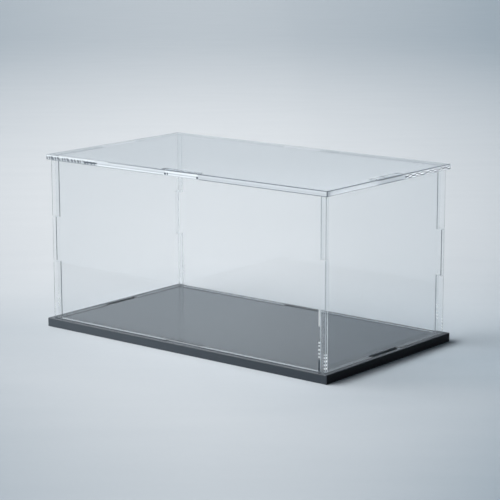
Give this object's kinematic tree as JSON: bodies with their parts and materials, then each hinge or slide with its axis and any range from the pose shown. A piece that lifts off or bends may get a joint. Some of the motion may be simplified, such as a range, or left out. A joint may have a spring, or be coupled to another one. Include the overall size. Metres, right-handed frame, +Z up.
{
  "type": "display case",
  "caption": "Clear acrylic display case of interlocking sheets: tabbed walls on a slotted black base, under a lift-off lid.",
  "frame": {"origin": "centre of the case's footprint, on the surface that it stands on", "axes": "+Z up, +X to the right along the case's length, +Y from the front wall to the back wall"},
  "size_m": [0.2, 0.114, 0.1],
  "materials": {
    "black_acrylic": "satin",
    "clear_acrylic": "polished"
  },
  "bodies": {
    "base": {"base_plate": "black_acrylic"},
    "cover": {"front_wall": "clear_acrylic", "back_wall": "clear_acrylic", "left_wall": "clear_acrylic", "right_wall": "clear_acrylic"},
    "lid": {"lid_panel": "clear_acrylic"}
  },
  "joints": [
    {"name": "cover_lift", "type": "slide", "parent": "base", "child": "cover", "axis": [0, 0, 1], "range_m": [0, 0.12]},
    {"name": "lid_lift", "type": "slide", "parent": "cover", "child": "lid", "axis": [0, 0, 1], "range_m": [0, 0.06]}
  ]
}
